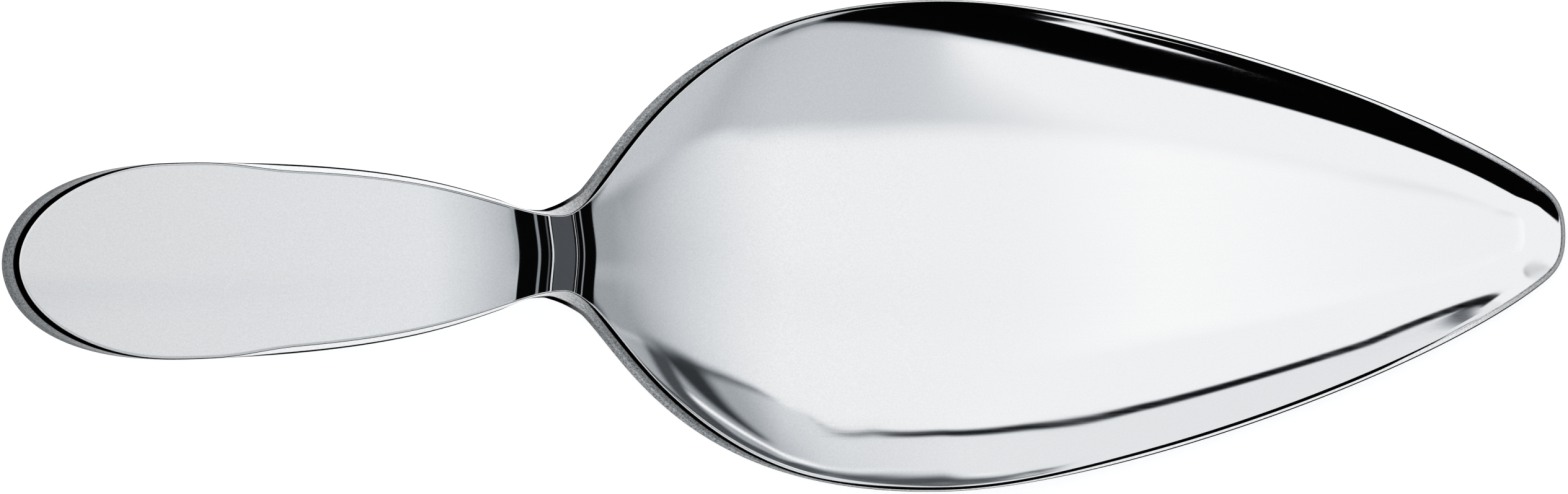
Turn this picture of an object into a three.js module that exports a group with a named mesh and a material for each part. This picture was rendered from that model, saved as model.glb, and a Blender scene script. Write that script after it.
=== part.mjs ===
// Cake server pressed from one thick stainless steel blank: a drop-shaped handle, a cranked neck
// and a broad leaf-shaped blade with a flat floor and a rim that turns up along both sides.
// Millimetres, +Z up, +X towards the tip, the flat underside of the blade on Z = 0.
import * as THREE from 'three';

// Plan outline of the lower edge, measured from the handle end
const overallLength = 226.9;
const handleWidth = 27.3;
const handleWidestAt = 24.8;
const handleEndRise = 4.5;
const handleEndRun = 20.8;
const taperStartRun = 41;
const taperEndRun = 10.1;
const neckWidth = 12.3;
const neckAt = 80.2;
const shoulderStartRun = 9.2;
const shoulderEndRun = 44.7;
const bladeWidth = 69.2;
const bladeWidestAt = 135.3;
const sideStartRun = 23.7;
const sideEndRun = 21.1;
const tipCornerBack = 4.8;
const tipCornerWidth = 15.8;
const tipCornerAngle = 34.4;
const tipCornerRun = 3.5;
const tipNoseRise = 4.8;

// Side profile of the upper face: where the flat floor begins, and the bends of the cranked neck
const floorStart = 168;
const floorRadius = 1600;
const floorAngle = 1.95;
const settleRadius = 170;
const settleAngle = 11.45;
const lowerBendRadius = 6.5;
const neckAngle = 44;
const neckDrop = 13.84;
const upperBendRadius = 12.3;
const easeAngle = 9.5;
const easeRadius = 150;
const handleRise = 5;
const neckBow = 0.6;

// Gauge of the steel
const handleGauge = 4.2;
const neckGauge = 4;
const floorGauge = 2.2;
const rimGauge = 1.8;
const gaugeBlend = 0.05;

// Turned-up rim: height above the floor and width of the curved wall along the blade
const rimStart = 76;
const rimFull = 148;
const rimFallAt = 158;
const rimHeightFull = 3.5;
const rimHeightCorner = 1.6;
const rimHeightTip = 0.8;
const wallFullAt = 125;
const wallNarrowAt = 200;
const wallWidthStart = 8;
const wallWidthFull = 21.5;
const wallWidthNarrow = 13;
const wallWidthTip = 7;
const rimThinRun = 25;

// How far the lower edge stands out beyond the upper one
const leanHandleEnd = 1.4;
const leanTaper = 0.95;
const leanNeck = 0.8;
const leanShoulder = 1.3;
const leanBelly = 0.3;
const leanSide = 0.7;
const leanTip = 0.8;
const upperEdgeRadius = 0.3;
const lowerEdgeRadius = 0.3;

// Facets of the loft, and how far its ribs lean along the handle end, the shoulder and the tip
const outlineSteps = [12, 20, 28, 18, 6];
const ribShares = [0, 0.05, 0.12, 0.2, 0.3, 0.42, 0.6, 0.8, 1];
const ribLeanEnd = 11;
const ribLeanShoulder = 9;
const ribLeanTip = 13;

const rad = THREE.MathUtils.degToRad;
const vec = (x, y) => new THREE.Vector2(x, y);

// Smooth curve through a few [x, value] pairs that never overshoots them
function through(pairs) {
  const slopes = pairs.slice(1).map(([x, v], k) => (v - pairs[k][1]) / (x - pairs[k][0]));
  const tangents = pairs.map((pair, k) => {
    const before = slopes[k - 1];
    const after = slopes[k];
    if (before === undefined || after === undefined || before * after <= 0) return 0;
    return (2 * before * after) / (before + after);
  });
  return (x) => {
    if (x <= pairs[0][0]) return pairs[0][1];
    const k = pairs.findIndex((pair) => pair[0] >= x);
    if (k < 0) return pairs[pairs.length - 1][1];
    const span = pairs[k][0] - pairs[k - 1][0];
    const t = (x - pairs[k - 1][0]) / span;
    const rest = 1 - t;
    const start = rest * rest * ((1 + 2 * t) * pairs[k - 1][1] + t * span * tangents[k - 1]);
    return start + t * t * ((1 + 2 * rest) * pairs[k][1] - rest * span * tangents[k]);
  };
}

// Half of the plan outline: handle end, taper, shoulder, side and tip
const tipCorner = vec(overallLength - tipCornerBack, tipCornerWidth / 2);
const tipWay = vec(Math.cos(rad(tipCornerAngle)), -Math.sin(rad(tipCornerAngle)));
const handleHalf = handleWidth / 2;
const neckHalf = neckWidth / 2;
const bladeHalf = bladeWidth / 2;
const outline = [
  [vec(0, 0), vec(0, handleEndRise), vec(handleWidestAt - handleEndRun, handleHalf),
    vec(handleWidestAt, handleHalf)],
  [vec(handleWidestAt, handleHalf), vec(handleWidestAt + taperStartRun, handleHalf),
    vec(neckAt - taperEndRun, neckHalf), vec(neckAt, neckHalf)],
  [vec(neckAt, neckHalf), vec(neckAt + shoulderStartRun, neckHalf),
    vec(bladeWidestAt - shoulderEndRun, bladeHalf), vec(bladeWidestAt, bladeHalf)],
  [vec(bladeWidestAt, bladeHalf), vec(bladeWidestAt + sideStartRun, bladeHalf),
    tipCorner.clone().addScaledVector(tipWay, -sideEndRun), tipCorner],
  [tipCorner, tipCorner.clone().addScaledVector(tipWay, tipCornerRun),
    vec(overallLength, tipNoseRise), vec(overallLength, 0)],
].map((points) => new THREE.CubicBezierCurve(...points));

// Side profile, worked back from the flat end of the floor: arcs, with one straight ramp in the neck
const bends = [
  { radius: floorRadius, to: rad(floorAngle) },
  { radius: settleRadius, to: rad(settleAngle) },
  { radius: lowerBendRadius, to: rad(neckAngle) },
  { ramp: true, to: rad(neckAngle) },
  { radius: -upperBendRadius, to: rad(easeAngle) },
  { radius: -easeRadius, to: rad(handleRise) },
];
const bendRise = (bend, from) => bend.radius * (Math.cos(from) - Math.cos(bend.to));
const startAngle = (k) => (k === 0 ? 0 : bends[k - 1].to);
const bentRise = bends.reduce((sum, bend, k) => (bend.ramp ? sum : sum + bendRise(bend, startAngle(k))), 0);
const pieces = [];
let pieceX = floorStart;
let pieceZ = floorGauge;
bends.forEach((bend, k) => {
  const from = startAngle(k);
  pieces.push({ x: pieceX, z: pieceZ, from, radius: bend.ramp ? 0 : bend.radius });
  const climb = bend.ramp ? neckDrop - bentRise : bendRise(bend, from);
  pieceX -= bend.ramp ? climb / Math.tan(from) : bend.radius * (Math.sin(bend.to) - Math.sin(from));
  pieceZ += climb;
});
pieces.push({ x: pieceX, z: pieceZ, from: rad(handleRise), radius: 0 });
const handleX = pieceX;

// Height of the upper face at x, with the sine and cosine of its fall towards the tip
function spine(x) {
  if (x >= floorStart) return { z: floorGauge, sin: 0, cos: 1 };
  const piece = pieces.filter((each) => each.x > x).pop();
  const run = piece.x - x;
  if (piece.radius === 0) {
    return { z: piece.z + run * Math.tan(piece.from), sin: Math.sin(piece.from), cos: Math.cos(piece.from) };
  }
  const sin = Math.sin(piece.from) + run / piece.radius;
  const cos = Math.sqrt(1 - sin * sin);
  return { z: piece.z + piece.radius * (Math.cos(piece.from) - cos), sin, cos };
}

// The bends run a little ahead in the middle of the neck
const bowed = (p) => p.x + (2 * neckBow * p.y * p.y) / (neckHalf * neckHalf + p.y * p.y);

const gauge = through([[0, handleGauge], [handleX, neckGauge]]);
const rimThin = through([[neckAt, 0], [neckAt + rimThinRun, 1]]);
const rimHeight = through([
  [rimStart, 0], [rimFull, rimHeightFull], [rimFallAt, rimHeightFull],
  [overallLength - tipCornerBack, rimHeightCorner], [overallLength, rimHeightTip],
]);
const wallWidth = through([
  [rimStart, wallWidthStart], [wallFullAt, wallWidthFull], [wallNarrowAt, wallWidthNarrow],
  [overallLength, wallWidthTip],
]);
const edgeLean = through([
  [0, leanHandleEnd], [handleWidestAt - 3, 0], [handleWidestAt + 4, 0], [handleWidestAt + 16, leanTaper],
  [neckAt, leanNeck], [neckAt + 16, leanShoulder], [bladeWidestAt - 18, leanBelly],
  [bladeWidestAt + 5, leanBelly], [bladeWidestAt + 30, leanSide], [overallLength, leanTip],
]);
const ribLean = through([
  [0, ribLeanEnd], [handleWidestAt, 0], [neckAt, 0], [neckAt + 19, ribLeanShoulder], [bladeWidestAt, 0],
  [overallLength, -ribLeanTip],
]);

// One rib: the half section from the middle of the upper face, round the edge, to the middle of the underside
function rib(curve, t) {
  const outer = curve.getPoint(t);
  const tangent = curve.getTangent(t);
  const inward = vec(tangent.y, -tangent.x);
  const foot = vec(outer.x + ribLean(outer.x), 0);
  const upper = outer.clone().addScaledVector(inward, edgeLean(outer.x));
  const depth = Math.abs(foot.clone().sub(outer).dot(inward));
  const height = rimHeight(outer.x);
  const width = Math.min(wallWidth(outer.x), depth);
  const rise = (share) => {
    const q = Math.max(0, 1 - (share * depth) / width);
    return { q, up: height * q * q * q };
  };
  const top = (share, drop) => {
    const p = upper.clone().lerp(foot, share);
    return new THREE.Vector3(p.x, p.y, spine(bowed(p)).z + rise(share).up - drop);
  };
  const under = (share) => {
    const p = outer.clone().lerp(foot, share);
    const { z, sin, cos } = spine(bowed(p));
    const { q, up } = rise(share);
    // As thick as the neck, until the flat underside takes over, and thinner along the rim
    const full = Math.exp(-gauge(p.x) / gaugeBlend) + Math.exp(-z / cos / gaugeBlend);
    const body = -gaugeBlend * Math.log(full);
    const thick = body + (Math.min(rimGauge, body) - body) * q * rimThin(outer.x);
    return new THREE.Vector3(p.x - thick * sin, p.y, z + up - thick * cos);
  };
  const topInset = upperEdgeRadius / depth;
  const underInset = lowerEdgeRadius / depth;
  const spread = (inset) => ribShares.map((share) => inset + (1 - inset) * share);
  const topRow = spread(topInset).map((share) => top(share, 0)).reverse();
  const underRow = spread(underInset).map((share) => under(share));
  const round = 1 - Math.SQRT1_2;
  const edge = [top(topInset * round, upperEdgeRadius * round)];
  const wallTop = top(0, 0);
  const wallFoot = under(0);
  const wallHeight = wallTop.distanceTo(wallFoot);
  edge.push(wallTop.clone().lerp(wallFoot, upperEdgeRadius / wallHeight));
  edge.push(wallFoot.clone().lerp(wallTop, lowerEdgeRadius / wallHeight));
  return [...topRow, ...edge, ...underRow];
}

// The loft skins the ribs of one half, mirrors them and welds both halves along the middle
function skin(ribs) {
  const positions = [];
  const index = [];
  const known = new Map();
  const place = (p, side) => {
    const at = [p.x, side * Math.max(p.y, 0), p.z].map((v) => Math.round(v * 1e4) / 1e4 + 0);
    const key = at.join();
    if (!known.has(key)) {
      known.set(key, positions.length / 3);
      positions.push(...at);
    }
    return known.get(key);
  };
  const face = (a, b, c) => {
    if (a !== b && b !== c && c !== a) index.push(a, b, c);
  };
  for (const side of [1, -1]) {
    for (let i = 1; i < ribs.length; i += 1) {
      for (let j = 1; j < ribs[i].length; j += 1) {
        const corners = [ribs[i - 1][j - 1], ribs[i][j - 1], ribs[i][j], ribs[i - 1][j]];
        const [a, b, c, d] = corners.map((p) => place(p, side));
        if (side > 0) {
          face(a, b, c);
          face(a, c, d);
        } else {
          face(a, c, b);
          face(a, d, c);
        }
      }
    }
  }
  const geometry = new THREE.BufferGeometry();
  geometry.setAttribute('position', new THREE.Float32BufferAttribute(positions, 3));
  geometry.setIndex(index);
  geometry.computeVertexNormals();
  geometry.computeBoundingBox();
  geometry.translate(-(geometry.boundingBox.min.x + geometry.boundingBox.max.x) / 2, 0, 0);
  return geometry;
}

const ribs = [];
outline.forEach((curve, k) => {
  for (let step = k === 0 ? 0 : 1; step <= outlineSteps[k]; step += 1) {
    ribs.push(rib(curve, step / outlineSteps[k]));
  }
});

const steel = new THREE.MeshStandardMaterial({ color: 0xc9cbcd, roughness: 0.12, metalness: 1 });
const server = new THREE.Mesh(skin(ribs), steel);
server.name = 'cake_server';

const part = new THREE.Group();
part.add(server);

export default part;
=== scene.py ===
import bpy
import bmesh
from math import radians, sin, cos, tan, sqrt, exp, log, pi
from mathutils import Vector, Matrix


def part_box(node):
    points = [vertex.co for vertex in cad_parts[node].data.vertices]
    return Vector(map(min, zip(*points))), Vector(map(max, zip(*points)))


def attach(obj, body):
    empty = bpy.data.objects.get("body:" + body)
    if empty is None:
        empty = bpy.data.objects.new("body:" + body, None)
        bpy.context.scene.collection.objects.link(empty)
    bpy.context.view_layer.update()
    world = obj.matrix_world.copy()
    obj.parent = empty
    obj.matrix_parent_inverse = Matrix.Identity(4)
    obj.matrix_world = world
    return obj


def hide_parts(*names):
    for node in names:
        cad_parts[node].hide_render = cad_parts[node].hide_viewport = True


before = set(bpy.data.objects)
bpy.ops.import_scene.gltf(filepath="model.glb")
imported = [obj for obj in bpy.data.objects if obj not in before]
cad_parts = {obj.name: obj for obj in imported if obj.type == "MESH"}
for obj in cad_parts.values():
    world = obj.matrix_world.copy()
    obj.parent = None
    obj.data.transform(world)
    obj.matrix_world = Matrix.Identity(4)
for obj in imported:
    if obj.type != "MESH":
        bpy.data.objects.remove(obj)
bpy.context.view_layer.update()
scene = bpy.context.scene
scene.view_settings.view_transform = "Standard"
mm = 0.001

# settings that many nodes share
multiply = {"operation": "MULTIPLY"}
multiplyAdd = {"operation": "MULTIPLY_ADD"}
subtract = {"operation": "SUBTRACT"}
divide = {"operation": "DIVIDE"}
maximum = {"operation": "MAXIMUM"}
smoothStep = {"interpolation_type": "SMOOTHSTEP"}
colourMix = {"data_type": "RGBA"}
colourMultiply = {"data_type": "RGBA", "blend_type": "MULTIPLY"}


def linear(hexColour):
    # sRGB hex to linear RGBA
    channels = [int(hexColour[k:k + 2], 16) / 255 for k in (0, 2, 4)]
    return [c / 12.92 if c <= 0.04045 else ((c + 0.055) / 1.055) ** 2.4 for c in channels] + [1]


def node(tree, kind, settings=None, inputs=None):
    # one node with its settings, constants and links; a node given as an input links its first output
    made = tree.nodes.new(kind)
    for key, value in (settings or {}).items():
        setattr(made, key, value)
    for key, value in (inputs or {}).items():
        if isinstance(value, bpy.types.Node):
            value = value.outputs[0]
        if isinstance(value, bpy.types.NodeSocket):
            tree.links.new(value, made.inputs[key])
        else:
            made.inputs[key].default_value = value
    return made


# sizes of the server in millimetres and degrees, x from the handle end towards the tip
server = {
    # plan outline
    "handleEnd": 0, "overallLength": 226.9, "handleWidth": 27.3, "handleWidestAt": 24.8,
    "handleEndRise": 4.5, "handleEndRun": 20.8, "taperStartRun": 41, "taperEndRun": 10.1,
    "neckWidth": 12.3, "neckAt": 80.2, "shoulderStartRun": 9.2, "shoulderEndRun": 44.7,
    "bladeWidth": 69.2, "bladeWidestAt": 135.3, "sideStartRun": 23.7, "sideEndRun": 21.1,
    "tipCornerBack": 4.8, "tipCornerWidth": 15.8, "tipCornerAngle": 34.4, "tipCornerRun": 3.5,
    "tipNoseRise": 4.8,
    # side profile: flat floor of the blade, bends of the neck, rising handle
    "floorStart": 168, "floorRadius": 1600, "floorAngle": 1.95, "handleRise": 5,
    "neckAngle": 44, "neckDrop": 13.84, "neckBow": 0.6, "easeRadius": 150, "easeAngle": 9.5,
    "upperBendRadius": 12.3, "lowerBendRadius": 6.5, "settleRadius": 170, "settleAngle": 11.45,
    # thickness, thinner up the rim, and the blend into the flat underside
    "handleGauge": 4.2, "neckGauge": 4, "floorGauge": 2.2, "rimGauge": 1.8, "rimThinRun": 25,
    "flatBlend": 0.05,
    # raised rim, and the width of the wall that sweeps up to it
    "rimStart": 76, "rimFull": 148, "rimHeight": 3.5, "rimFallAt": 158, "cornerRimHeight": 1.6,
    "tipRimHeight": 0.8, "wallStart": 8, "wallFullAt": 125, "wallFull": 21.5, "wallNarrowAt": 200,
    "wallNarrow": 13, "wallTip": 7,
    # the next four lists hold a landmark, how far past it, and the value there
    # how far the edge leans in towards the top
    "edgeLean": [("handleEnd", 0, 1.4), ("handleWidestAt", -3, 0), ("handleWidestAt", 4, 0),
                 ("handleWidestAt", 16, 0.95), ("neckAt", 0, 0.8), ("neckAt", 16, 1.3),
                 ("bladeWidestAt", -18, 0.3), ("bladeWidestAt", 5, 0.3), ("bladeWidestAt", 30, 0.7),
                 ("overallLength", 0, 0.8)],
    # how far a rib's foot stands ahead of its rim
    "ribLean": [("handleEnd", 0, 11), ("handleWidestAt", 0, 0), ("neckAt", 0, 0), ("neckAt", 19, 9),
                ("bladeWidestAt", 0, 0), ("overallLength", 0, -13)],
    # how pale the edge is painted: low values paint shade on the ground edge, high values leave it pale
    "paintedEdgeLight": [("handleEnd", 0, 0), ("handleEnd", 12.4, 0.05), ("handleWidestAt", 12, 1),
                 ("neckAt", -6, 1), ("neckAt", 8, 0), ("neckAt", 30, 0), ("bladeWidestAt", 0, 0.6),
                 ("overallLength", -60, 0.95), ("overallLength", -20, 0.9), ("overallLength", -5, 0.3),
                 ("overallLength", 0, 0.15)],
    # how deep down the edge its dark upper line ends, a painted dark reflection
    "paintedEdgeLine": [("handleEnd", 0, 0.22), ("handleEnd", 12.4, 0.2), ("handleWidestAt", 12, -0.4),
                 ("neckAt", 0, -0.4), ("neckAt", 8, 0.06), ("neckAt", 30, 0.06),
                 ("bladeWidestAt", 10, -0.1), ("overallLength", -30, 0.1), ("overallLength", -12, -1.3),
                 ("overallLength", 0, -1.3)],
    # rounded edges and the spacing of the mesh
    "upperEdgeRadius": 0.25, "lowerEdgeRadius": 0.3, "edgeSteps": 3, "mergeWithin": 0.0001,
    "outlineSteps": (34, 44, 76, 54, 16),
    "ribShares": (0, 0.025, 0.05, 0.08, 0.115, 0.155, 0.2, 0.255, 0.32, 0.4, 0.5, 0.62, 0.74, 0.87, 1),
}


def through(pairs):
    # smooth curve through a few pairs that never overshoots them
    slopes = [(b[1] - a[1]) / (b[0] - a[0]) for a, b in zip(pairs, pairs[1:])]
    tangents = [0]
    for before, after in zip(slopes, slopes[1:]):
        tangents.append(2 * before * after / (before + after) if before * after > 0 else 0)
    tangents.append(0)

    def value(x):
        if x <= pairs[0][0]:
            return pairs[0][1]
        for k in range(1, len(pairs)):
            if x <= pairs[k][0]:
                span = pairs[k][0] - pairs[k - 1][0]
                t = (x - pairs[k - 1][0]) / span
                rest = 1 - t
                start = rest * rest * ((1 + 2 * t) * pairs[k - 1][1] + t * span * tangents[k - 1])
                return start + t * t * ((1 + 2 * rest) * pairs[k][1] - rest * span * tangents[k])
        return pairs[-1][1]
    return value


def pastLandmarks(s, marks):
    # smooth curve along the server through values at its landmarks
    return through([(s[mark] + past, value) for mark, past, value in marks])


def outlineCurves(s):
    # half of the plan outline as five cubic curves
    handleHalf, neckHalf, bladeHalf = s["handleWidth"] / 2, s["neckWidth"] / 2, s["bladeWidth"] / 2
    widest, neck, belly, end = s["handleWidestAt"], s["neckAt"], s["bladeWidestAt"], s["overallLength"]
    corner = Vector((end - s["tipCornerBack"], s["tipCornerWidth"] / 2))
    way = Vector((cos(radians(s["tipCornerAngle"])), -sin(radians(s["tipCornerAngle"]))))
    curves = [
        ((0, 0), (0, s["handleEndRise"]), (widest - s["handleEndRun"], handleHalf), (widest, handleHalf)),
        ((widest, handleHalf), (widest + s["taperStartRun"], handleHalf),
         (neck - s["taperEndRun"], neckHalf), (neck, neckHalf)),
        ((neck, neckHalf), (neck + s["shoulderStartRun"], neckHalf),
         (belly - s["shoulderEndRun"], bladeHalf), (belly, bladeHalf)),
        ((belly, bladeHalf), (belly + s["sideStartRun"], bladeHalf), corner - way * s["sideEndRun"], corner),
        (corner, corner + way * s["tipCornerRun"], (end, s["tipNoseRise"]), (end, 0)),
    ]
    return [[Vector(p) for p in points] for points in curves]


def spineOf(s):
    # side profile of the upper face, worked back from the flat floor as arcs and one straight ramp
    bends = [(s["floorRadius"], s["floorAngle"]), (s["settleRadius"], s["settleAngle"]),
             (s["lowerBendRadius"], s["neckAngle"]), None, (-s["upperBendRadius"], s["easeAngle"]),
             (-s["easeRadius"], s["handleRise"])]
    rampRise, angle = s["neckDrop"], 0
    for bend in bends:
        if bend:
            rampRise -= bend[0] * (cos(angle) - cos(radians(bend[1])))
            angle = radians(bend[1])
    pieces = []
    x, z, angle = s["floorStart"], s["floorGauge"], 0
    for bend in bends:
        pieces.append((x, z, angle, bend[0] if bend else 0))
        if bend:
            turned = radians(bend[1])
            x -= bend[0] * (sin(turned) - sin(angle))
            z += bend[0] * (cos(angle) - cos(turned))
            angle = turned
        else:
            x -= rampRise / tan(angle)
            z += rampRise
    pieces.append((x, z, angle, 0))

    def spine(x):
        # height, sine and cosine of the fall towards the tip
        if x >= s["floorStart"]:
            return s["floorGauge"], 0, 1
        x0, z0, angle, radius = [piece for piece in pieces if piece[0] > x][-1]
        if radius == 0:
            return z0 + (x0 - x) * tan(angle), sin(angle), cos(angle)
        fall = sin(angle) + (x0 - x) / radius
        flat = sqrt(1 - fall * fall)
        return z0 + radius * (cos(angle) - flat), fall, flat
    return spine, x


def serverRibs(s):
    # half sections from the rim to the middle, upper face and underside
    spine, handleX = spineOf(s)
    gauge = through([(0, s["handleGauge"]), (handleX, s["neckGauge"])])
    rimHeight = through([
        (s["rimStart"], 0), (s["rimFull"], s["rimHeight"]), (s["rimFallAt"], s["rimHeight"]),
        (s["overallLength"] - s["tipCornerBack"], s["cornerRimHeight"]),
        (s["overallLength"], s["tipRimHeight"])])
    rimThin = through([(s["neckAt"], 0), (s["neckAt"] + s["rimThinRun"], 1)])
    wallWidth = through([
        (s["rimStart"], s["wallStart"]), (s["wallFullAt"], s["wallFull"]),
        (s["wallNarrowAt"], s["wallNarrow"]), (s["overallLength"], s["wallTip"])])
    edgeLean = pastLandmarks(s, s["edgeLean"])
    ribLean = pastLandmarks(s, s["ribLean"])
    blend = s["flatBlend"]

    def bowed(p):
        # the bends run a little ahead in the middle of the neck
        half = s["neckWidth"] / 2
        return p.x + 2 * s["neckBow"] * p.y * p.y / (half * half + p.y * p.y)

    turns = [k / s["edgeSteps"] * pi / 2 for k in range(s["edgeSteps"], 0, -1)]
    made = []
    for k, (p0, p1, p2, p3) in enumerate(outlineCurves(s)):
        steps = s["outlineSteps"][k]
        for step in range(0 if k == 0 else 1, steps + 1):
            t = step / steps
            r = 1 - t
            outer = p0 * r ** 3 + p1 * (3 * r * r * t) + p2 * (3 * r * t * t) + p3 * t ** 3
            tangent = ((p1 - p0) * (r * r) + (p2 - p1) * (2 * r * t) + (p3 - p2) * (t * t)).normalized()
            inward = Vector((tangent.y, -tangent.x))
            foot = Vector((outer.x + ribLean(outer.x), 0))
            upper = outer + inward * edgeLean(outer.x)
            depth = abs((foot - outer).dot(inward))
            height = rimHeight(outer.x)
            width = min(wallWidth(outer.x), depth)

            def rise(share):
                q = max(0, 1 - share * depth / width)
                return q, height * q ** 3

            def top(share, drop):
                p = upper.lerp(foot, share)
                return Vector((p.x, p.y, spine(bowed(p))[0] + rise(share)[1] - drop))

            def under(share, lift):
                p = outer.lerp(foot, share)
                z, fall, level = spine(bowed(p))
                q, up = rise(share)
                # as thick as the neck, until the flat underside takes over
                thick = -blend * log(exp(-gauge(p.x) / blend) + exp(-z / level / blend))
                thick += (min(s["rimGauge"], thick) - thick) * q * rimThin(outer.x)
                thick -= lift
                return Vector((p.x - thick * fall, p.y, z + up - thick * level))

            rows = []
            for place, radius in ((top, s["upperEdgeRadius"]), (under, s["lowerEdgeRadius"])):
                inset = radius / depth
                edge = [place(inset * (1 - sin(a)), radius * (1 - cos(a))) for a in turns]
                rows.append(edge + [place(inset + (1 - inset) * share, 0) for share in s["ribShares"]])
            made.append(rows)
    return made


def buildServer(s):
    ribs = serverRibs(s)
    columns = len(ribs[0][0]) - 1
    toneAt = pastLandmarks(s, s["paintedEdgeLight"])
    lineAt = pastLandmarks(s, s["paintedEdgeLine"])
    bm = bmesh.new()
    edgeDepth = bm.verts.layers.float.new("edgeDepth")
    # the next two layers say where the edge is painted in shade and where its painted dark upper line ends
    paintedEdgeLight = bm.verts.layers.float.new("paintedEdgeLight")
    paintedEdgeLine = bm.verts.layers.float.new("paintedEdgeLine")
    # one sheet for the upper face and a twin for the underside, bent onto the ribs
    bmesh.ops.create_grid(bm, x_segments=len(ribs) - 1, y_segments=2 * columns, size=1)
    upperVerts = bm.verts[:]
    twins = bmesh.ops.duplicate(bm, geom=bm.verts[:] + bm.edges[:] + bm.faces[:])["vert_map"]
    for v in upperVerts:
        station = round((v.co.x + 1) / 2 * (len(ribs) - 1))
        across = round((v.co.y + 1) / 2 * 2 * columns) - columns
        side = 1 if across >= 0 else -1
        place = columns - abs(across)
        # the upper edge runs from 0 inwards to -1, the lower edge from 1 inwards to 2
        inward = min(place / s["edgeSteps"], 1)
        for vert, row, depth in ((v, ribs[station][0], -inward), (twins[v], ribs[station][1], 1 + inward)):
            p = row[place]
            vert.co = (p.x * mm, side * max(p.y, 0) * mm, p.z * mm)
            vert[edgeDepth] = depth
            vert[paintedEdgeLight] = toneAt(row[0].x)
            vert[paintedEdgeLine] = lineAt(row[0].x)
    bmesh.ops.remove_doubles(bm, verts=bm.verts[:], dist=s["mergeWithin"] * mm)
    rims = [e for e in bm.edges if e.is_boundary]
    walls = bmesh.ops.bridge_loops(bm, edges=rims)["faces"]
    for f in bm.faces:
        f.smooth = True
        depths = [v[edgeDepth] for v in f.verts]
        if max(depths) > -1 and min(depths) < 2:
            f.material_index = 1
    print("edge faces:", sum(f.material_index for f in bm.faces), "with", len(walls), "in the wall")
    bmesh.ops.recalc_face_normals(bm, faces=bm.faces[:])
    # seat it in the box of the solid
    low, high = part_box("cake_server")
    lowX = min(v.co.x for v in bm.verts)
    highX = max(v.co.x for v in bm.verts)
    bmesh.ops.translate(bm, verts=bm.verts[:], vec=((low[0] + high[0]) / 2 - (lowX + highX) / 2, 0, 0))
    mesh = bpy.data.meshes.new("polishedServer")
    bm.to_mesh(mesh)
    bm.free()
    piece = bpy.data.objects.new("polishedServer", mesh)
    scene.collection.objects.link(piece)
    smooth = piece.modifiers.new("finePress", "SUBSURF")
    smooth.levels = smooth.render_levels = 1
    print("server mesh:", len(mesh.vertices), "points,", len(mesh.polygons), "faces")
    return piece


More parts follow.
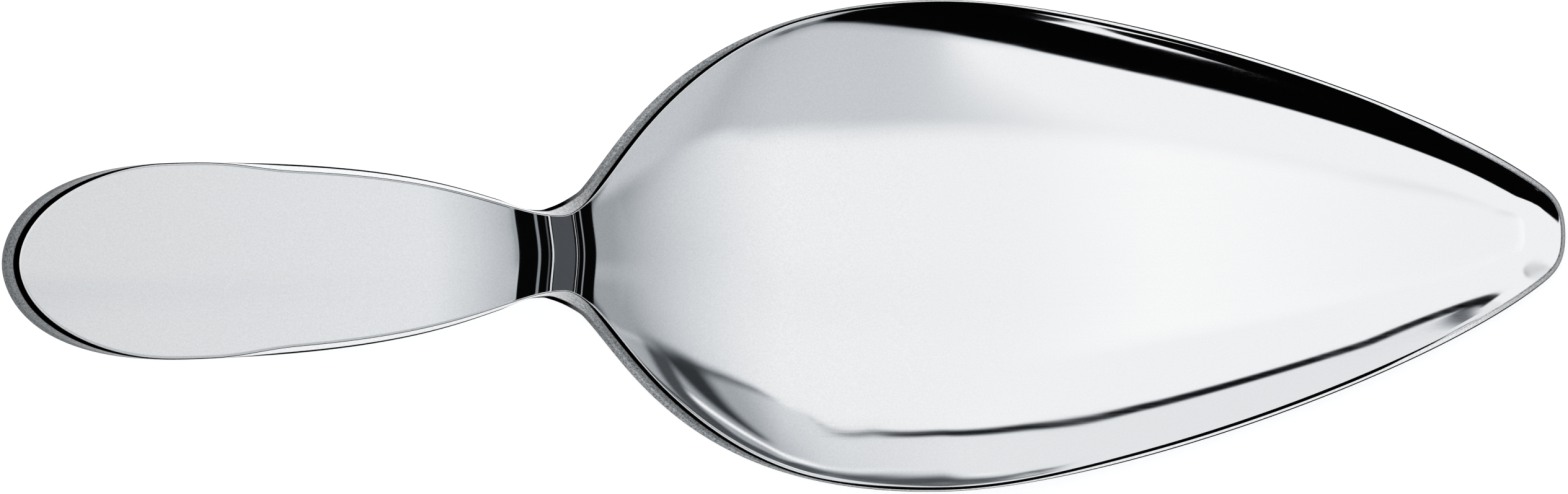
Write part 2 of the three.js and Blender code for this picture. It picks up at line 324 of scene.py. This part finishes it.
# mirror-polished stainless steel: clear reflections, a thin buffing haze and lengthwise hairlines
# that catch the light
def mirrorSteel():
    # sizes in mm, places in mm from the middle of the server
    # real buffing marks are too fine for the render, so the grain and the hairlines are drawn as coarse
    # as they need to show
    look = {
        "bright": "f4f5f6", "dull": "d9dadc", "clear": 0.02, "hazy": 0.06,
        "wornFrom": 0.1, "wornFull": 0.45, "grain": 0.25, "haze": 30, "hair": 0.35, "hairStretch": 50,
        "fineAt": 40, "fine": 0.25, "handleShadeFrom": -55, "handleShadeTo": -112, "handleShadeDepth": 0.13,
        "corner": (109.2, -5.2), "cornerFull": 0.8, "cornerEnd": 3.2, "cornerRough": 0.26,
    }
    mat = bpy.data.materials.new("mirrorPolishedStainlessSteel")
    mat.use_nodes = True
    tree = mat.node_tree
    shader = tree.nodes["Principled BSDF"]
    shader.inputs["Metallic"].default_value = 1
    coord = node(tree, "ShaderNodeTexCoord").outputs["Object"]
    grain = node(tree, "ShaderNodeTexNoise", None, {
        "Vector": coord, "Scale": 1 / (look["grain"] * mm), "Detail": 2, "Roughness": 0.6}).outputs["Fac"]
    haze = node(tree, "ShaderNodeTexNoise", None, {
        "Vector": coord, "Scale": 1 / (look["haze"] * mm), "Detail": 3, "Roughness": 0.55}).outputs["Fac"]
    stretch = node(tree, "ShaderNodeMapping", None, {
        "Vector": coord, "Scale": (1 / look["hairStretch"], 1, 1)})
    hair = node(tree, "ShaderNodeTexNoise", None, {
        "Vector": stretch, "Scale": 1 / (look["hair"] * mm), "Detail": 4, "Roughness": 0.7}).outputs["Fac"]
    # the blade is polished finer than the handle, and the handle end is painted a little darker, painted
    # shade for its dimmer reflection
    place = node(tree, "ShaderNodeSeparateXYZ", None, {0: coord})
    coarse = node(tree, "ShaderNodeMapRange", None, {
        "Value": place, "From Min": 0, "From Max": look["fineAt"] * mm, "To Min": 1, "To Max": look["fine"]})
    offset = node(tree, "ShaderNodeMath", subtract, {0: grain, 1: 0.5})
    fleck = node(tree, "ShaderNodeMath", multiplyAdd, {0: offset, 1: coarse, 2: 0.5})
    tone = node(tree, "ShaderNodeMix", colourMix, {
        0: fleck, 6: linear(look["dull"]), 7: linear(look["bright"])})
    # painted shade: the base colour darkens towards the handle end
    handleShade = node(tree, "ShaderNodeMapRange", None, {
        "Value": place, "From Min": look["handleShadeFrom"] * mm, "From Max": look["handleShadeTo"] * mm,
        "To Min": 1, "To Max": 1 - look["handleShadeDepth"]})
    handleShaded = node(tree, "ShaderNodeMix", colourMultiply, {0: 1, 6: tone.outputs[2], 7: handleShade})
    tree.links.new(handleShaded.outputs[2], shader.inputs["Base Color"])
    worn = node(tree, "ShaderNodeMath", multiply, {0: haze, 1: hair})
    rough = node(tree, "ShaderNodeMapRange", None, {
        "Value": worn, "From Min": look["wornFrom"], "From Max": look["wornFull"],
        "To Min": look["clear"], "To Max": look["hazy"]})
    # the wheel does not reach into the tight corner by the tip, which stays dull
    flat = node(tree, "ShaderNodeVectorMath", multiply, {0: coord, 1: (1, 1, 0)})
    cornerX, cornerY = look["corner"]
    reach = node(tree, "ShaderNodeVectorMath", {"operation": "DISTANCE"}, {
        0: flat, 1: (cornerX * mm, cornerY * mm, 0)})
    corner = node(tree, "ShaderNodeMapRange", smoothStep, {
        "Value": reach.outputs["Value"], "From Min": look["cornerFull"] * mm,
        "From Max": look["cornerEnd"] * mm, "To Min": look["cornerRough"], "To Max": 0})
    finish = node(tree, "ShaderNodeMath", maximum, {0: rough, 1: corner})
    tree.links.new(finish.outputs[0], shader.inputs["Roughness"])
    return mat


# sheared and belt-ground stainless edge: a grainy satin band between two painted dark lines that stand in for
# dark reflections, with painted shade at the handle end, the shoulders and the nose, and paler between them
def satinEdge():
    # sizes in mm, places in mm from the middle of the server, depths as buildServer counts them
    # the grain is drawn as coarse as it needs to show
    # the darker satin tone of the edge is painted shade, the under colour is painted light from the floor,
    # and the line colour paints dark reflections
    look = {
        "dull": "777a7c", "pale": "f4f5f6", "under": "a2a5a7", "line": "070707", "dullBelow": 0.5,
        "bladeFrom": -30, "bladeFull": -22, "underFrom": 0.4, "underFull": 0.75,
        "lineFrom": -0.7, "bladeLineFrom": -1.2, "highlightEnd": 25, "lineSoft": 0.05,
        "lowerFrom": 0.72, "lowerFull": 0.86, "lowerWhereShaded": 0.2,
        "grain": 0.28, "grainLow": 0.3, "grainHigh": 0.7, "grit": 0.8, "fineGrit": 0.16,
        "smooth": 0.34, "rough": 0.5, "bump": 0.3, "bumpDepth": 0.02,
    }
    mat = bpy.data.materials.new("satinGroundStainlessEdge")
    mat.use_nodes = True
    tree = mat.node_tree
    shader = tree.nodes["Principled BSDF"]
    shader.inputs["Metallic"].default_value = 1
    coord = node(tree, "ShaderNodeTexCoord").outputs["Object"]
    place = node(tree, "ShaderNodeSeparateXYZ", None, {0: coord})
    grain = node(tree, "ShaderNodeTexNoise", None, {
        "Vector": coord, "Scale": 1 / (look["grain"] * mm), "Detail": 3, "Roughness": 0.7}).outputs["Fac"]
    depth = node(tree, "ShaderNodeAttribute", {"attribute_name": "edgeDepth"}).outputs["Fac"]
    tone = node(tree, "ShaderNodeAttribute", {"attribute_name": "paintedEdgeLight"}).outputs["Fac"]
    lineEnd = node(tree, "ShaderNodeAttribute", {"attribute_name": "paintedEdgeLine"}).outputs["Fac"]
    satin = node(tree, "ShaderNodeMix", colourMix, {
        0: tone, 6: linear(look["dull"]), 7: linear(look["pale"])})
    # on the blade the shaded edge turns paler towards the underside, painted light from the floor below
    fades = node(tree, "ShaderNodeMapRange", smoothStep, {
        "Value": depth, "From Min": look["underFrom"], "From Max": look["underFull"]})
    onBlade = node(tree, "ShaderNodeMapRange", None, {
        "Value": place, "From Min": look["bladeFrom"] * mm, "From Max": look["bladeFull"] * mm})
    isShaded = node(tree, "ShaderNodeMapRange", None, {
        "Value": tone, "From Min": 0, "From Max": look["dullBelow"], "To Min": 1, "To Max": 0})
    low = node(tree, "ShaderNodeMath", multiply, {0: fades, 1: onBlade})
    paintedFloorLight = node(tree, "ShaderNodeMath", multiply, {0: low, 1: isShaded})
    satin = node(tree, "ShaderNodeMix", colourMix, {0: paintedFloorLight, 6: satin.outputs[2], 7: linear(look["under"])})
    # coarse where the edge is painted in shade, fine where it is painted pale
    spread = node(tree, "ShaderNodeMapRange", None, {
        "Value": tone, "To Min": look["grit"], "To Max": look["fineGrit"]})
    speck = node(tree, "ShaderNodeMapRange", {"clamp": False}, {
        "Value": grain, "From Min": look["grainLow"], "From Max": look["grainHigh"],
        "To Min": -1, "To Max": 1})
    grit = node(tree, "ShaderNodeMath", multiplyAdd, {0: speck, 1: spread, 2: 1})
    ground = node(tree, "ShaderNodeMix", colourMultiply, {0: 1, 6: satin.outputs[2], 7: grit})
    # the dark upper line, a painted dark reflection, with a painted highlight on the arris above it that ends
    # part of the way along the blade
    past = node(tree, "ShaderNodeMath", subtract, {0: depth, 1: lineEnd})
    before = node(tree, "ShaderNodeMapRange", smoothStep, {
        "Value": past, "From Min": look["lineSoft"], "From Max": -look["lineSoft"]})
    starts = node(tree, "ShaderNodeMapRange", None, {
        "Value": place, "From Min": 0, "From Max": look["highlightEnd"] * mm,
        "To Min": look["lineFrom"], "To Max": look["bladeLineFrom"]})
    deeper = node(tree, "ShaderNodeMath", subtract, {0: depth, 1: starts})
    inside = node(tree, "ShaderNodeMapRange", smoothStep, {
        "Value": deeper, "From Min": -look["lineSoft"], "From Max": look["lineSoft"]})
    upper = node(tree, "ShaderNodeMath", multiply, {0: before, 1: inside})
    paintedHighlight = node(tree, "ShaderNodeMix", colourMix, {0: inside, 6: linear(look["pale"]), 7: ground.outputs[2]})
    # the dark lower line, a painted dark reflection along the foot of the edge, faint where the edge is
    # painted in shade
    lower = node(tree, "ShaderNodeMapRange", smoothStep, {
        "Value": depth, "From Min": look["lowerFrom"], "From Max": look["lowerFull"]})
    force = node(tree, "ShaderNodeMapRange", None, {
        "Value": tone, "From Min": 0, "From Max": look["dullBelow"],
        "To Min": look["lowerWhereShaded"], "To Max": 1})
    paintedLowerLine = node(tree, "ShaderNodeMath", multiply, {0: lower, 1: force})
    dark = node(tree, "ShaderNodeMath", maximum, {0: upper, 1: paintedLowerLine})
    colour = node(tree, "ShaderNodeMix", colourMix, {0: dark, 6: paintedHighlight.outputs[2], 7: linear(look["line"])})
    tree.links.new(colour.outputs[2], shader.inputs["Base Color"])
    # the painted dark lines stay dark at a glance
    glance = node(tree, "ShaderNodeMath", subtract, {0: 1, 1: dark})
    tree.links.new(glance.outputs[0], shader.inputs["Specular Tint"])
    rough = node(tree, "ShaderNodeMapRange", None, {
        "Value": grain, "From Min": look["grainLow"], "From Max": look["grainHigh"],
        "To Min": look["smooth"], "To Max": look["rough"]})
    tree.links.new(rough.outputs[0], shader.inputs["Roughness"])
    bump = node(tree, "ShaderNodeBump", None, {
        "Strength": look["bump"], "Distance": look["bumpDepth"] * mm, "Height": grain})
    tree.links.new(bump.outputs[0], shader.inputs["Normal"])
    return mat


piece = buildServer(server)
piece.data.materials.append(mirrorSteel())
piece.data.materials.append(satinEdge())
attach(piece, "root")
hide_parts("cake_server")
print("server dressed")

# studio: a pale tent with cards hung in it, placed by the tangents of the angle from straight up
# places are (east, north), and east is towards the tip
# a card lies between limits, inside corners, or beside or around a path
# later cards cover earlier ones, and one with a shade only darkens what is behind it
studio = {
    "level": 1.077, "fall": 0.68, "bend": 2.46, "from": 0.24, "least": 0.42, "tint": 0.09, "horizon": 0.02,
    # where the south and north sides of the tent end
    "southEdge": [(-0.5, -0.03), (-0.15, -0.17), (0.05, -0.48), (0.12, -0.585), (0.165, -0.545),
                  (0.22, -0.59), (0.29, -0.63), (0.34, -0.58), (0.4, -0.52), (0.5, -0.56)],
    "northEdge": [(-0.3, 1.6), (0.05, 0.69), (0.11, 0.58), (0.166, 0.5), (0.212, 0.418), (0.255, 0.358),
                  (0.278, 0.315), (0.287, 0.25), (0.302, 0.155), (0.33, 0.118), (0.38, 0.092),
                  (0.45, 0.079), (0.55, 0.08), (0.75, 0.09)],
    "cards": [
        # lamp glow in the middle of the tent
        {"east": (0.226, 0.244), "north": (-0.035, 0.03), "soft": ((0.012, 0.024), (0.06, 0.06)),
         "level": 1.16},
        # shade on the south side of the tent, and light past it
        {"path": [(0.1, -0.025), (0.3, -0.027), (0.42, -0.055), (0.7, -0.07)], "along": "east", "side": -1,
         "from": 0.25, "to": 0.5, "soft": ((0.05, 0.15), 0.05), "shade": 0.68},
        {"east": (0.53, 0.73), "north": (-0.7, -0.045), "soft": ((0.12, 0.04), (0.1, 0.06)), "level": 0.68},
        # black flag in the south with a light slit
        {"path": "southEdge", "along": "east", "side": -1, "from": 0.21, "soft": ((0.08, 0.05), 0.2),
         "shade": 0.3},
        {"path": "southEdge", "along": "east", "side": -1, "soft": (0.05, 0.04), "level": 0.001},
        {"corners": [(0.16, -1.09), (0.112, -1.09), (0.066, -1.2), (0.052, -1.26), (0.095, -1.24)],
         "soft": 0.015, "level": 1.1},
        # the low south and west sides of the tent
        {"east": (-90, 90), "north": (-90, -1.72), "soft": (1, 0.16), "level": 0.72},
        {"east": (-90, -1.3), "north": (-90, 90), "soft": (1, 1), "level": 0.6},
        # light, dark flag, strip and horizon beyond the tip, seen in the bends of the neck
        {"east": (1.6, 90), "north": (-90, 90), "soft": (1, 1), "level": 0.9},
        {"corners": [(0.715, -0.28), (60, -12), (60, 12), (0.715, 0.28)], "soft": 0.04, "level": 0.002},
        {"corners": [(2.1, -0.8), (2.6, -0.8), (2.6, 0.8), (2.1, 0.8)], "soft": 0.2, "level": 0.3},
        {"corners": [(8, -1.6), (14.5, -2.9), (14.5, 2.9), (8, 1.6)], "soft": 1.5, "level": 0.1},
        # north side: shade beyond the edge of the tent, and the grey corner with its rails
        {"path": "northEdge", "along": "east", "side": 1, "soft": (0.05, 0.03), "level": 0.96},
        {"path": "northEdge", "along": "east", "side": 1, "from": 0.335, "soft": (0.2, 0.03), "level": 0.46},
        {"path": [(0.33, 0.118), (0.38, 0.094), (0.45, 0.083), (0.57, 0.085)], "along": "east",
         "half": (0.004, 0.018), "soft": (0.08, 0.045), "level": 0.05},
        {"path": [(0.55, 0.07), (0.53, 0.12), (0.5, 0.2), (0.46, 0.275), (0.4, 0.37)], "along": "north",
         "half": (0.062, 0.008), "soft": (0.055, 0.06), "level": 0.04},
        {"path": [(0.605, 0.2), (0.53, 0.285), (0.458, 0.365), (0.375, 0.46), (0.328, 0.55), (0.295, 0.66),
                  (0.268, 0.83), (0.214, 0.97)], "along": "north",
         "half": (0.018, 0.008), "soft": (0.025, 0.06), "level": 1.1},
        {"path": [(0.61, 0.08), (0.62, 0.19), (0.562, 0.35), (0.436, 0.482), (0.356, 0.56), (0.318, 0.66),
                  (0.29, 0.8), (0.24, 1.01), (0.15, 1.16)], "along": "north",
         "half": (0.032, 0.016), "soft": (0.03, 0.06), "level": 0.08},
        # grey wedge, and the dark rail along the north edge
        {"corners": [(0.06, 0.76), (0.02, 0.9), (-0.09, 1.4), (-0.16, 1.4), (0.0, 0.82)], "soft": 0.03,
         "level": 0.15},
        {"path": [(-0.17, 1.26), (-0.03, 0.86), (0.05, 0.69), (0.11, 0.58), (0.166, 0.5), (0.212, 0.418),
                  (0.255, 0.358), (0.278, 0.315), (0.288, 0.24)], "along": "east", "from": -0.11,
         "half": (0.09, 0.02), "soft": ((0.04, 0.024), 0.03), "level": 0.002},
    ],
}


def buildStudio(s):
    world = bpy.data.worlds.new("softStudio")
    scene.world = world
    world.use_nodes = True
    tree = world.node_tree
    tree.nodes.clear()
    coord = node(tree, "ShaderNodeTexCoord")
    parts = node(tree, "ShaderNodeSeparateXYZ", None, {0: coord.outputs["Generated"]})
    up = node(tree, "ShaderNodeMath", maximum, {0: parts.outputs[2], 1: s["horizon"]})
    east = node(tree, "ShaderNodeMath", divide, {0: parts.outputs[0], 1: up})
    north = node(tree, "ShaderNodeMath", divide, {0: parts.outputs[1], 1: up})

    def window(value, limits, soft):
        # one between the limits, with soft ends
        low, high = limits
        first, last = soft if isinstance(soft, tuple) else (soft, soft)
        opens = node(tree, "ShaderNodeMapRange", smoothStep, {
            "Value": value, "From Min": low - first / 2, "From Max": low + first / 2})
        closes = node(tree, "ShaderNodeMapRange", smoothStep, {
            "Value": value, "From Min": high + last / 2, "From Max": high - last / 2})
        return node(tree, "ShaderNodeMath", multiply, {0: opens, 1: closes})

    def betweenLimits(card):
        softEast, softNorth = card["soft"]
        inEast = window(east, card["east"], softEast)
        inNorth = window(north, card["north"], softNorth)
        return node(tree, "ShaderNodeMath", multiply, {0: inEast, 1: inNorth})

    def insideCorners(card):
        corners = [Vector(c) for c in card["corners"]]
        middle = sum(corners, Vector((0, 0))) / len(corners)
        half = card["soft"] / 2
        mask = 1
        for start, end in zip(corners, corners[1:] + corners[:1]):
            away = Vector((end.y - start.y, start.x - end.x)).normalized()
            if away.dot(middle - start) > 0:
                away = -away
            limit = away.dot(start)
            northPart = node(tree, "ShaderNodeMath", multiply, {0: north, 1: away.y})
            outwards = node(tree, "ShaderNodeMath", multiplyAdd, {0: east, 1: away.x, 2: northPart})
            inside = node(tree, "ShaderNodeMapRange", smoothStep, {
                "Value": outwards, "From Min": limit + half, "From Max": limit - half})
            mask = node(tree, "ShaderNodeMath", multiply, {0: inside, 1: mask})
        return mask

    def byPath(card):
        path = s[card["path"]] if isinstance(card["path"], str) else card["path"]
        alongEast = card["along"] == "east"
        points = sorted(p if alongEast else (p[1], p[0]) for p in path)
        axis, other = (east, north) if alongEast else (north, east)
        softAlong, softAcross = card["soft"] if alongEast else (card["soft"][1], card["soft"][0])
        first, last = points[0][0], points[-1][0]
        run = last - first
        low = min(p[1] for p in points)
        rise = max(p[1] for p in points) - low
        # smooth curve through the points, with both ways stretched to run from 0 to 1
        share = node(tree, "ShaderNodeMath", multiplyAdd, {0: axis, 1: 1 / run, 2: -first / run})
        line = node(tree, "ShaderNodeFloatCurve", None, {"Value": share})
        curve = line.mapping.curves[0]
        while len(curve.points) < len(points):
            curve.points.new(0.5, 0.5)
        for spot, (place, height) in zip(curve.points, points):
            spot.location = ((place - first) / run, (height - low) / rise)
            spot.handle_type = "AUTO_CLAMPED"
        line.mapping.update()
        level = node(tree, "ShaderNodeMath", multiplyAdd, {0: line, 1: rise, 2: low})
        gap = node(tree, "ShaderNodeMath", subtract, {0: other, 1: level})
        side = card.get("side", -1)
        if "half" in card:
            startHalf, endHalf = card["half"]
            gap = node(tree, "ShaderNodeMath", {"operation": "ABSOLUTE"}, {0: gap})
            half = node(tree, "ShaderNodeMath", multiplyAdd, {0: share, 1: endHalf - startHalf, 2: startHalf})
            gap = node(tree, "ShaderNodeMath", subtract, {0: gap, 1: half})
        edge = node(tree, "ShaderNodeMapRange", smoothStep, {
            "Value": gap, "From Min": -side * softAcross / 2, "From Max": side * softAcross / 2})
        ends = window(axis, (card.get("from", first), card.get("to", last)), softAlong)
        return node(tree, "ShaderNodeMath", multiply, {0: edge, 1: ends})

    # the tent dims towards the tip side
    offset = node(tree, "ShaderNodeMath", subtract, {0: east, 1: s["from"]})
    beyond = node(tree, "ShaderNodeMath", maximum, {0: offset, 1: 0})
    slope = node(tree, "ShaderNodeMath", multiplyAdd, {0: beyond, 1: -s["bend"], 2: -s["fall"]})
    dimmed = node(tree, "ShaderNodeMath", multiplyAdd, {0: slope, 1: beyond, 2: s["level"]})
    total = node(tree, "ShaderNodeMath", maximum, {0: dimmed, 1: s["least"]})
    for card in s["cards"]:
        hang = insideCorners if "corners" in card else byPath if "path" in card else betweenLimits
        mask = hang(card)
        if "shade" in card:
            passes = node(tree, "ShaderNodeMath", multiplyAdd, {0: mask, 1: card["shade"] - 1, 2: 1})
            total = node(tree, "ShaderNodeMath", multiply, {0: total, 1: passes})
        else:
            change = node(tree, "ShaderNodeMath", subtract, {0: card["level"], 1: total})
            total = node(tree, "ShaderNodeMath", multiplyAdd, {0: change, 1: mask, 2: total})
    # the white cloth turns a little blue in its shade
    share = node(tree, "ShaderNodeMath", divide, {0: total, 1: s["level"]})
    shaded = node(tree, "ShaderNodeMath", subtract, {0: 1, 1: share})
    lessRed = node(tree, "ShaderNodeMath", multiplyAdd, {0: shaded, 1: -s["tint"], 2: 1})
    moreBlue = node(tree, "ShaderNodeMath", multiplyAdd, {0: shaded, 1: s["tint"], 2: 1})
    red = node(tree, "ShaderNodeMath", multiply, {0: share, 1: lessRed})
    blue = node(tree, "ShaderNodeMath", multiply, {0: share, 1: moreBlue})
    cloth = node(tree, "ShaderNodeCombineColor", None, {0: red, 1: share, 2: blue})
    light = node(tree, "ShaderNodeBackground", None, {"Color": cloth, "Strength": s["level"]})
    plain = node(tree, "ShaderNodeBackground", None, {"Color": linear("ffffff"), "Strength": 1})
    seen = node(tree, "ShaderNodeLightPath")
    mix = node(tree, "ShaderNodeMixShader", None, {0: seen.outputs["Is Camera Ray"], 1: light, 2: plain})
    node(tree, "ShaderNodeOutputWorld", None, {0: mix})
    print("studio:", len(s["cards"]), "cards,", len(tree.nodes), "nodes")


buildStudio(studio)

# pale table top
floorLook = {"halfSize": 3, "colour": "f2f2f2", "glow": 0.5, "rough": 0.28}


# smooth coated paper: an even white sheet with a faint sheen, glowing a little so that it stays white
def palePaper(look):
    mat = bpy.data.materials.new("palePaper")
    mat.use_nodes = True
    tree = mat.node_tree
    shader = tree.nodes["Principled BSDF"]
    shader.inputs["Base Color"].default_value = linear(look["colour"])
    shader.inputs["Roughness"].default_value = look["rough"]
    shader.inputs["Emission Color"].default_value = linear("ffffff")
    # the glow shows to the camera and in the steel, and the paper keeps its soft shadow
    seen = node(tree, "ShaderNodeLightPath")
    mirrored = node(tree, "ShaderNodeMath", maximum, {
        0: seen.outputs["Is Glossy Ray"], 1: seen.outputs["Is Transmission Ray"]})
    viewed = node(tree, "ShaderNodeMath", maximum, {0: seen.outputs["Is Camera Ray"], 1: mirrored})
    glow = node(tree, "ShaderNodeMath", multiply, {0: viewed, 1: look["glow"]})
    tree.links.new(glow.outputs[0], shader.inputs["Emission Strength"])
    return mat


bm = bmesh.new()
bmesh.ops.create_grid(bm, x_segments=1, y_segments=1, size=floorLook["halfSize"])
floorMesh = bpy.data.meshes.new("paleFloor")
bm.to_mesh(floorMesh)
bm.free()
floor = bpy.data.objects.new("paleFloor", floorMesh)
scene.collection.objects.link(floor)
floorMesh.materials.append(palePaper(floorLook))
print("floor laid")

# camera above the handle side, long lens, turned a little so the tip rises to the right
view = {"tilt": 12, "roll": 1.16, "distance": 2.4, "frameWidth": 0.21975, "sensor": 36,
        "aim": (-0.00067, 0.00026, 0.006)}
camData = bpy.data.cameras.new("studioCamera")
camData.sensor_width = view["sensor"]
camData.lens = view["sensor"] * view["distance"] / view["frameWidth"]
camera = bpy.data.objects.new("studioCamera", camData)
scene.collection.objects.link(camera)
turn = Matrix.Rotation(-radians(view["tilt"]), 3, "Y") @ Matrix.Rotation(-radians(view["roll"]), 3, "Z")
spot = Vector(view["aim"]) + turn @ Vector((0, 0, view["distance"]))
camera.matrix_world = Matrix.Translation(spot) @ turn.to_4x4()
scene.camera = camera
print("camera set")
